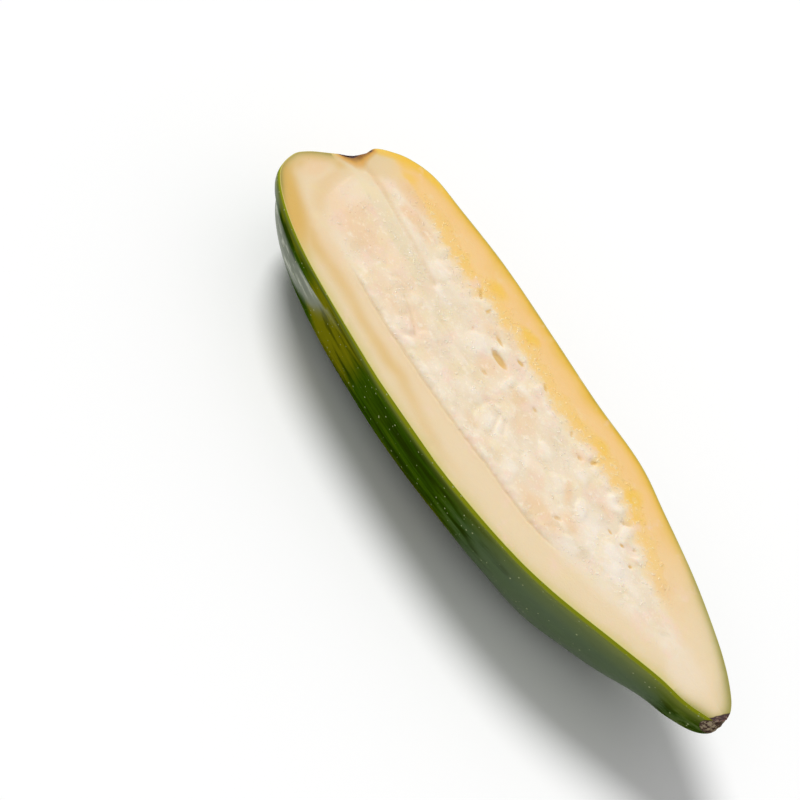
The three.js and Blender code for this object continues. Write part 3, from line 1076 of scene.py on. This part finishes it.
def add(
    tree: Tree, kind: str, links: dict | None = None, out: int | str = 0,
    stops: tuple[tuple[float, str], ...] = (), **settings,
) -> Socket | None:
    """Adds a node with its settings and its links.

    Args:
        tree: The node tree that it joins.
        kind: The node's type, without the words that every shader node's type begins with.
        links: Input name or number to a value, a colour or another node's output.
        out: Name or number of the output that is wanted.
        stops: For a colour ramp, pairs of place and hex colour.
        **settings: The node's own properties.

    Returns:
        The output, or None from a node that has none.
    """
    node = tree.nodes.new("ShaderNode" + kind)
    for name, value in settings.items():
        setattr(node, name, value)
    for name, value in (links or {}).items():
        if isinstance(value, Socket):
            tree.links.new(value, node.inputs[name])
        else:
            node.inputs[name].default_value = value
    for number, (at, colour) in enumerate(stops):
        elements = node.color_ramp.elements
        element = elements[number] if number < len(elements) else elements.new(at)
        element.position = at
        element.color = linear(colour)
    return node.outputs[out] if len(node.outputs) else None


def new_material(name: str, *marks: Mark) -> tuple[bpy.types.Material, Tree, list[Socket]]:
    """A new material whose node tree reads some marks and holds nothing else.

    Args:
        name: The material's name.
        *marks: What it reads.

    Returns:
        The material, its tree and the marks' values.
    """
    material = bpy.data.materials.new(name)
    material.use_nodes = True
    tree = material.node_tree
    tree.nodes.clear()
    read = [add(tree, "Attribute", out="Fac", attribute_name=mark.value) for mark in marks]
    return material, tree, read


@dataclass(frozen=True)
class Grain:
    """Noise that a finish is drawn with."""

    size_mm: float
    detail: float  # how many finer layers it has
    roughness: float = 0.6  # how strong those are

    def over(self, where: Socket) -> dict[str, Socket | float]:
        """What a noise node takes to draw it over the places."""
        inputs = ("Vector", "Scale", "Detail", "Roughness")
        return dict(zip(inputs, (where, per_metre(self.size_mm), self.detail, self.roughness)))


@dataclass(frozen=True)
class Wash:
    """A colour laid over the ones before it, where a value passes from start to end."""

    over: Mark | str  # the mark that it follows, or one of the finish's own patterns
    start: float
    end: float
    colour: str
    cover: float = 1.0  # how much it covers at most
    ragged: float = 0.0  # how far the grain moves its edge, in the value's own units


def lay(
    washes: tuple[Wash, ...], tree: Tree, colour: Socket, grain: Socket, patterns: dict[str, Socket],
) -> Socket:
    """Adds the nodes that lay washes one over the other.

    Args:
        washes: The lowest first.
        tree: The finish's node tree.
        colour: The colour underneath.
        grain: Noise about 0.5 that makes edges ragged.
        patterns: The finish's own patterns by name.

    Returns:
        The finished colour.
    """
    for wash in washes:
        if isinstance(wash.over, Mark):
            value = add(tree, "Attribute", out="Fac", attribute_name=wash.over.value)
        else:
            value = patterns[wash.over]
        if wash.ragged:
            moved = {0: grain, 1: 2 * wash.ragged, 2: value}
            value = add(tree, "Math", moved, operation="MULTIPLY_ADD")
        share = add(tree, "MapRange", {
            "Value": value, "From Min": wash.start + wash.ragged, "To Max": wash.cover,
            "From Max": wash.end + wash.ragged}, interpolation_type="SMOOTHSTEP")
        colour = add(tree, "Mix", {0: share, 6: colour, 7: linear(wash.colour)}, 2, data_type="RGBA")
    return colour


@dataclass(frozen=True)
class Relief:
    """A pattern of a finish that is felt as relief."""

    pattern: str
    strength: float
    depth_mm: float


def emboss(reliefs: tuple[Relief, ...], tree: Tree, patterns: dict[str, Socket]) -> Socket:
    """Adds the nodes that lay reliefs one over the other.

    Args:
        reliefs: The lowest first.
        tree: The finish's node tree.
        patterns: The finish's own patterns by name.

    Returns:
        The surface's direction for a shader.
    """
    bumps = {}
    for relief in reliefs:
        felt = {"Strength": relief.strength, "Distance": relief.depth_mm * MM}
        felt["Height"] = patterns[relief.pattern]
        bumps = {"Normal": add(tree, "Bump", felt | bumps)}
    return bumps["Normal"]


@dataclass(frozen=True)
class WaxySkin:
    """Babaco skin: a thin green rind under a coat of natural wax.

    The rind is deep green, yellower in patches, with pale breathing pores and a bright, pale
    green edge beside the cut: partly its own colour, partly painted light for light that leaves
    the flesh, with a painted grey sheen. A painted sheen, soft grey-green and drawn out
    lengthwise, lies on the lower lobes in place of a reflection, and a painted whitish
    highlight runs along a crease near the stem.
    """

    deep: str = "263e02"
    green: str = "426407"
    greener: Span = (0.35, 0.7)  # streaks between which the second green takes over
    stretch: Triple = (0.10, 1.0, 1.0)  # streaks run along the fruit
    streaks: Grain = Grain(3.2, 4.0)
    patches: Grain = Grain(38.0, 2.0, 0.5)
    grit: Grain = Grain(1.9, 4.0, 0.7)
    pore_mm: float = 2.3  # pores stand about this far apart
    pore_size: Span = (0.04, 0.18)  # of that distance
    pore_small: float = 0.1  # this share of them have the smallest size
    pore_edge: Span = (-0.01, 0.04)
    crust_grit: float = 1.4  # how far the grit moves a scar's edge
    crust_edge: Span = (0.5, 1.0)
    bark_bare: float = 0.46  # the grit's level off the scars
    roughness: Span = (0.26, 0.48)
    crust_roughness: float = 0.45
    gloss: Span = (0.36, 0.0)  # from waxed to rubbed skin
    reliefs: tuple[Relief, ...] = (
        Relief("streaks", 0.3, 0.3), Relief("dots", 0.3, 0.1), Relief("crumbs", 0.9, 0.9),
    )
    washes: tuple[Wash, ...] = (
        Wash("patches", 0.56, 0.74, "54600a", 0.5),
        Wash(Mark.OLIVE, 0.05, 0.95, "83800c", 0.95, 0.7),
        Wash("streaks", 0.54, 0.36, "2c3a04", 0.6),
        Wash(Mark.YELLOW, 0.15, 0.85, "ac900e", 0.95, 0.5),
        Wash("flecks", 0.357, 0.536, "c2a01a", 0.8),
        # Painted sheen: a grey-green reflection laid into the lower lobes' colour.
        Wash(Mark.PAINTED_SHEEN, 0.25, 0.85, "586b48", 0.85, 0.75),
        # Partly painted light: the greyish-olive ledge beside the cut is partly the rind's own colour
        # and partly a painted sheen.
        Wash(Mark.EDGE, 3.2, 1.4, "66742a", 0.7, 0.2),
        Wash(Mark.EDGE, 1.8, 1.0, "7d8838", 0.85, 0.2),
        # Painted highlight: greyish-white streaks near the stem in place of reflected light.
        Wash(Mark.BLOOM, 0.2, 0.9, "8b9280", 0.85, 0.5),
        Wash(Mark.BLOOM, 0.95, 1.25, "ccd0bd", 0.85, 0.9),
        # Partly painted light: the bright strip at the rim is partly the rind's own colour and partly
        # painted light leaving the flesh.
        Wash(Mark.EDGE, 0.95, 0.5, "9ca41a", 0.95, 0.12),
        Wash("dots", 0.0, 1.0, "c3cb96", 0.8),
        Wash("crust", 0.5, 0.9, "5e4c40"),
        Wash("bark", 0.49, 0.58, "b3a286"),
        Wash("bark", 0.43, 0.36, "241519"),
    )

    def material(self) -> bpy.types.Material:
        """Builds the finish.

        Returns:
            The skin's material.
        """
        material, tree, (yellow, scar, rubbed) = new_material(
            "babaco_waxy_skin", Mark.YELLOW, Mark.CRUST, Mark.RUBBED)
        where = add(tree, "TexCoord", out="Object")
        drawn_out = add(tree, "Mapping", {"Vector": where, "Scale": self.stretch})
        streaks = add(tree, "TexNoise", self.streaks.over(drawn_out))
        grit = add(tree, "TexNoise", self.grit.over(where))
        pores = {"Vector": where, "Scale": per_metre(self.pore_mm)}
        chance = add(tree, "SeparateColor", {0: add(tree, "TexVoronoi", pores, "Color")})
        size = add(tree, "MapRange", {
            "Value": chance, "From Min": self.pore_small,
            "To Min": self.pore_size[0], "To Max": self.pore_size[1]})
        inside = {0: size, 1: add(tree, "TexVoronoi", pores, "Distance")}
        inside = add(tree, "Math", inside, operation="SUBTRACT")
        crust = add(tree, "Math", {0: grit, 1: self.crust_grit, 2: scar}, operation="MULTIPLY_ADD")
        dots, corky = [
            add(tree, "MapRange", {"Value": value, "From Min": edge[0], "From Max": edge[1]})
            for value, edge in ((inside, self.pore_edge), (crust, self.crust_edge))
        ]
        bark = add(tree, "Math", {0: grit, 1: self.bark_bare}, operation="SUBTRACT")
        bark = {0: bark, 1: corky, 2: self.bark_bare}
        flecks, crumbs = [
            add(tree, "Math", {0: first, 1: second}, operation="MULTIPLY")
            for first, second in ((yellow, streaks), (grit, corky))
        ]
        patterns = {
            "patches": add(tree, "TexNoise", self.patches.over(where)), "streaks": streaks,
            "flecks": flecks, "dots": dots, "crust": crust, "crumbs": crumbs,
            "bark": add(tree, "Math", bark, operation="MULTIPLY_ADD"),
        }
        share = add(tree, "MapRange", {
            "Value": streaks, "From Min": self.greener[0], "From Max": self.greener[1]})
        greens = {0: share, 6: linear(self.deep), 7: linear(self.green)}
        colour = add(tree, "Mix", greens, 2, data_type="RGBA")
        smooth, matt = self.roughness
        rough = add(tree, "Math", {0: streaks, 1: matt - smooth, 2: smooth}, operation="MULTIPLY_ADD")
        rough = {0: corky, 1: self.crust_roughness, 2: rough}
        shader = add(tree, "BsdfPrincipled", {
            "Base Color": lay(self.washes, tree, colour, streaks, patterns),
            "Roughness": add(tree, "Math", rough, operation="MULTIPLY_ADD"),
            "Normal": emboss(self.reliefs, tree, patterns), "IOR": 1.45,
            "Specular IOR Level": add(tree, "MapRange", {
                "Value": rubbed, "To Min": self.gloss[0], "To Max": self.gloss[1]})})
        add(tree, "OutputMaterial", {"Surface": shader})
        return material


@dataclass(frozen=True)
class CutFlesh:
    """The wet cut: firm flesh round a cottony pulp.

    Both let light in, which softens the relief, and both carry juice: it shines in its gloss and
    bumps, and in painted highlights laid into the colour. The flesh is greenish by the skin,
    golden within and yellower on the riper side.
    """

    reach_mm: float = 25.0  # how far in from the rim the colours below reach
    unripe: tuple[tuple[float, str], ...] = (
        (0.0, "a09c3c"), (0.008, "c8c074"), (0.02, "d6c988"), (0.04, "d7c78b"), (0.08, "ddca98"),
        (0.16, "e5d0a8"), (0.32, "e9d3ad"), (1.0, "ecd5b0"),
    )
    ripened: tuple[tuple[float, str], ...] = (
        (0.0, "8d8a14"), (0.015, "c09a20"), (0.04, "ddb33a"), (0.08, "e8bc52"), (0.14, "edc26e"),
        (0.22, "f1c680"), (0.36, "f2c989"), (0.6, "f4cc89"), (1.0, "f5d090"),
    )
    drift: Grain = Grain(14.0, 2.0, 0.5)
    drifting: Stretch = ((0.25, 0.75), (0.65, 1.35))  # how the drift stretches their depth
    cotton: Grain = Grain(3.4, 3.0)
    grain: Grain = Grain(1.6, 3.0)
    fibre: Grain = Grain(0.9, 3.0)
    tints: Grain = Grain(10.0, 3.0)
    tint_off_pulp: float = 0.86  # how much of the tints' noise counts off the pulp
    wetness: Grain = Grain(7.0, 1.0, 0.5)
    wet_span: Span = (0.5, 0.62)
    drop_span: Span = (0.56, 0.68)
    speck_mm: float = 3.4  # specks stand about this far apart
    speck_edge: Span = (0.12, 0.06)  # of that distance
    crust_edge: Span = (-0.15, 0.2)
    roughness: Span = (0.42, 0.16)  # from dry to wet
    scatter: Triple = (1.0, 0.7, 0.4)  # how much further red goes in than green and blue
    scatter_mm: float = 2.5
    reliefs: tuple[Relief, ...] = (
        Relief("fibre", 0.3, 0.25), Relief("mottle", 0.2, 0.5), Relief("drops", 0.6, 0.3),
    )
    washes: tuple[Wash, ...] = (
        Wash(Mark.JUICY, 0.2, 1.0, "f3c96c", 0.45, 0.3),
        Wash(Mark.GOLD, 0.05, 1.1, "f2c445", 0.8, 0.12),
        Wash("flecks", 0.5, 0.62, "fbe2ac", 0.45),
        Wash(Mark.PULP, 0.1, 0.9, "efdfc5", 1.0, 0.25),
        Wash("shade", 0.5, 0.64, "e5d2b0", 0.5),
        # Painted light and shade: lump tops lighter, dips darker.
        Wash(Mark.CROWN, 0.35, 0.9, "f7ebda", 0.75, 0.1),
        Wash(Mark.VALLEY_SHADE, 0.6, 1.0, "e2cdae", 0.6, 0.1),
        # Partly painted shade: a warmer, darker tint, in places laid where the cut lies in shade.
        Wash(Mark.BLUSH_AND_SHADE, 0.0, 1.0, "ecc596", 0.75, 0.1),
        Wash(Mark.PALE, 0.0, 1.0, "f2e8dc", 0.6, 0.1),
        Wash(Mark.STRAND, 0.2, 0.9, "e6d5b2", 0.75, 0.1),
        Wash("pink", 0.5, 0.66, "f2d2bd", 0.5),
        Wash("lemon", 0.5, 0.66, "eedaac", 0.4),
        Wash("mottle", 0.57, 0.7, "faeedb", 0.42),
        Wash("fluff", 0.56, 0.68, "fdf0db", 0.4),
        Wash(Mark.BAND, 0.0, 1.0, "d9b05a", 0.95),
        Wash(Mark.TINGE, 0.0, 1.0, "8f8a42", 0.95),
        # Painted highlights: small near-white specks laid into the colour where the cut is wet.
        Wash("painted_glints", 0.64, 0.72, "fffaec", 0.5),
        # Painted shade: a darker tan laid along the folds and the left crease.
        Wash(Mark.CREASE, 0.05, 0.6, "d8b884", 0.6, 0.1),
        Wash("specks", 0.0, 1.0, "c68b55", 0.6),
        Wash(Mark.HOLLOW, 0.1, 0.95, "d9ab52", 0.8, 0.2),
        Wash(Mark.STAIN, 0.05, 0.65, "d9a245", 0.9, 0.06),
        Wash(Mark.STAIN, 0.55, 0.92, "8a5c26", 0.95, 0.06),
        Wash(Mark.CRUST, -0.15, 0.2, "3c2220", 1.0, 0.3),
        Wash("bark", 0.54, 0.66, "7b6454"),
    )

    def own_colour(self, tree: Tree, drift: Socket, from_rim: Socket, ripe: Socket) -> Socket:
        """The flesh's own colour by its depth under the skin.

        Args:
            tree: The finish's node tree.
            drift: Broad noise that makes the depth uneven.
            from_rim: The depth, in millimetres.
            ripe: How ripe it is.

        Returns:
            The colour.
        """
        (low, high), (less, more) = self.drifting
        wander = add(tree, "MapRange", {
            "Value": drift, "From Min": low, "From Max": high, "To Min": less, "To Max": more})
        depth = add(tree, "Math", {0: from_rim, 1: 1 / self.reach_mm}, operation="MULTIPLY")
        depth = add(tree, "Math", {0: depth, 1: wander}, operation="MULTIPLY")
        unripe, ripened = [
            add(tree, "ValToRGB", {"Fac": depth}, stops=stops) for stops in (self.unripe, self.ripened)
        ]
        return add(tree, "Mix", {0: ripe, 6: unripe, 7: ripened}, 2, data_type="RGBA")

    def material(self) -> bpy.types.Material:
        """Builds the finish.

        Returns:
            The flesh's material.
        """
        material, tree, (from_rim, ripe, pulp, juicy, blush, scar) = new_material(
            "babaco_cut_flesh", Mark.FROM_RIM, Mark.RIPE, Mark.PULP, Mark.JUICY, Mark.BLUSH_AND_SHADE, Mark.CRUST)
        where = add(tree, "TexCoord", out="Object")
        drift, cotton, grain, fibre, wetness = [
            add(tree, "TexNoise", kind.over(where))
            for kind in (self.drift, self.cotton, self.grain, self.fibre, self.wetness)
        ]
        cells = {"Vector": where, "Scale": per_metre(self.speck_mm)}
        cells = add(tree, "TexVoronoi", cells, "Distance")
        edges = (self.wet_span, self.speck_edge, self.crust_edge)
        puddles, specks, crust = [
            add(tree, "MapRange", {"Value": value, "From Min": edge[0], "From Max": edge[1]})
            for value, edge in zip((wetness, cells, scar), edges)
        ]
        wet = add(tree, "Math", {0: puddles, 1: pulp}, operation="MULTIPLY")
        wet = add(tree, "Math", {0: wet, 1: juicy}, operation="MAXIMUM")
        drops = add(tree, "MapRange", {
            "Value": grain, "From Min": self.drop_span[0], "From Max": self.drop_span[1],
        }, interpolation_type="SMOOTHSTEP")
        tinted = add(tree, "MapRange", {"Value": pulp, "To Min": self.tint_off_pulp})
        tints = add(tree, "TexNoise", self.tints.over(where), "Color")
        red, green = [add(tree, "SeparateColor", {0: tints}, name) for name in ("Red", "Green")]
        products = {
            "mottle": (cotton, pulp), "fluff": (grain, pulp), "shade": (drift, pulp),
            "flecks": (grain, juicy), "painted_glints": (fibre, wet), "drops": (drops, wet),
            "pink": (red, tinted), "lemon": (green, tinted), "specks": (specks, blush),
            "bark": (grain, crust),
        }
        patterns = {"fibre": fibre}
        for name, (first, second) in products.items():
            patterns[name] = add(tree, "Math", {0: first, 1: second}, operation="MULTIPLY")
        colour = self.own_colour(tree, drift, from_rim, ripe)
        shader = add(tree, "BsdfPrincipled", {
            "Base Color": lay(self.washes, tree, colour, grain, patterns),
            "Roughness": add(tree, "MapRange", {
                "Value": wet, "To Min": self.roughness[0], "To Max": self.roughness[1]}),
            "Normal": emboss(self.reliefs, tree, patterns), "IOR": 1.38,
            "Subsurface Weight": 0.3, "Subsurface Radius": self.scatter,
            "Subsurface Scale": self.scatter_mm * MM})
        add(tree, "OutputMaterial", {"Surface": shader})
        return material


@dataclass(frozen=True)
class StudioPaper:
    """White background paper: matt, and white to the eye while it still takes a shadow."""

    seen: str = "ffffff"  # its colour for the eye
    shining: str = "e2e2e2"  # and for the light that it throws back

    def material(self) -> bpy.types.Material:
        """Builds the finish.

        Returns:
            The paper's material.
        """
        material, tree, _ = new_material("studio_paper")
        colour = add(tree, "Mix", {
            0: looked_at(tree), 6: linear(self.shining), 7: linear(self.seen)}, 2, data_type="RGBA")
        shader = add(tree, "BsdfPrincipled", {
            "Base Color": colour, "Roughness": 0.9, "Specular IOR Level": 0.0})
        add(tree, "OutputMaterial", {"Surface": shader})
        return material


def looked_at(tree: Tree) -> Socket:
    """Tells where the backdrop is seen from where it only lights.

    Args:
        tree: The backdrop's node tree.

    Returns:
        1 where it is seen directly, in a gloss or through glass, 0 elsewhere.
    """
    seen = None
    for ray in ("Is Camera Ray", "Is Glossy Ray", "Is Transmission Ray"):
        one = add(tree, "LightPath", out=ray)
        seen = one if seen is None else add(tree, "Math", {0: seen, 1: one}, operation="MAXIMUM")
    return seen


@dataclass(frozen=True)
class Studio:
    """A pale floor, a soft dome of light and one large soft lamp a long way off."""

    floor_size: float = 8.0  # metres
    dome: float = 0.42  # how bright the dome is
    key_from: Triple = (-0.70, 0.12, 0.72)  # direction that the lamp's light comes from
    key_angle: float = 24.0  # how large it looks from the fruit, in degrees
    key_strength: float = 2.6  # watts per square metre

    def build(self) -> None:
        """Makes the floor, the dome and the lamp."""
        sheet = bmesh.new()
        bmesh.ops.create_grid(sheet, x_segments=1, y_segments=1, size=self.floor_size / 2)
        mesh = bpy.data.meshes.new("floor")
        sheet.to_mesh(mesh)
        sheet.free()
        mesh.materials.append(StudioPaper().material())
        floor = put("floor", mesh)
        self.light_dome()
        self.hang_lamp()

    def light_dome(self) -> None:
        """Lights the object evenly from all round, with a white backdrop for the eye."""
        world = bpy.data.worlds.new("studio")
        world.use_nodes = True
        tree = world.node_tree
        tree.nodes.clear()
        strength = add(tree, "MapRange", {"Value": looked_at(tree), "To Min": self.dome, "To Max": 1.0})
        back = add(tree, "Background", {"Color": (1, 1, 1, 1), "Strength": strength})
        add(tree, "OutputWorld", {"Surface": back})
        bpy.context.scene.world = world

    def hang_lamp(self) -> None:
        """Hangs the soft lamp and aims it at the fruit."""
        light = bpy.data.lights.new("key", "SUN")
        light.angle = math.radians(self.key_angle)
        light.energy = self.key_strength
        lamp = put("key", light)
        lamp.location = self.key_from
        lamp.rotation_euler = Vector(self.key_from).to_track_quat("Z", "Y").to_euler()


@dataclass(frozen=True)
class Viewpoint:
    """The camera: it looks down on the cut face and is rolled, so the fruit stands aslant."""

    place: Triple = (166.1, -696.7, 744.7)  # from the form's zero point, in millimetres
    elevation: float = 47.41  # how far it looks down, in degrees
    azimuth: float = 16.37  # which side it stands on: 0 looks along +Y
    roll: float = 43.2
    lens: float = 126.2  # its focal length, in millimetres
    sensor: float = 36.0  # the width of its picture, in millimetres

    def build(self, zero: Vector) -> None:
        """Makes the camera.

        Args:
            zero: Where the form's zero point lies in the row, in metres.
        """
        data = bpy.data.cameras.new("camera")
        data.lens = self.lens
        data.sensor_width = self.sensor
        aim = Matrix.Translation(zero + Vector(self.place) * MM)
        for angle, axis in ((self.azimuth, "Z"), (90 - self.elevation, "X"), (self.roll, "Z")):
            aim = aim @ Matrix.Rotation(math.radians(angle), 4, axis)
        camera = put("camera", data)
        camera.matrix_world = aim
        bpy.context.scene.camera = camera


def main() -> None:
    """Builds the stage and the fruit, and notes the fruit's numbers of points and faces."""
    logging.basicConfig(level=logging.INFO, format="%(name)s: %(message)s")
    bpy.context.scene.view_settings.view_transform = "Standard"
    half = CutHalf()
    Studio().build()
    Viewpoint().build(half.place())
    fruit = half.build()
    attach(fruit, "root")
    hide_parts(NODE)
    LOG.info("%s: %d points, %d faces", fruit.name, len(fruit.data.vertices), len(fruit.data.polygons))


if __name__ == "__main__":
    main()
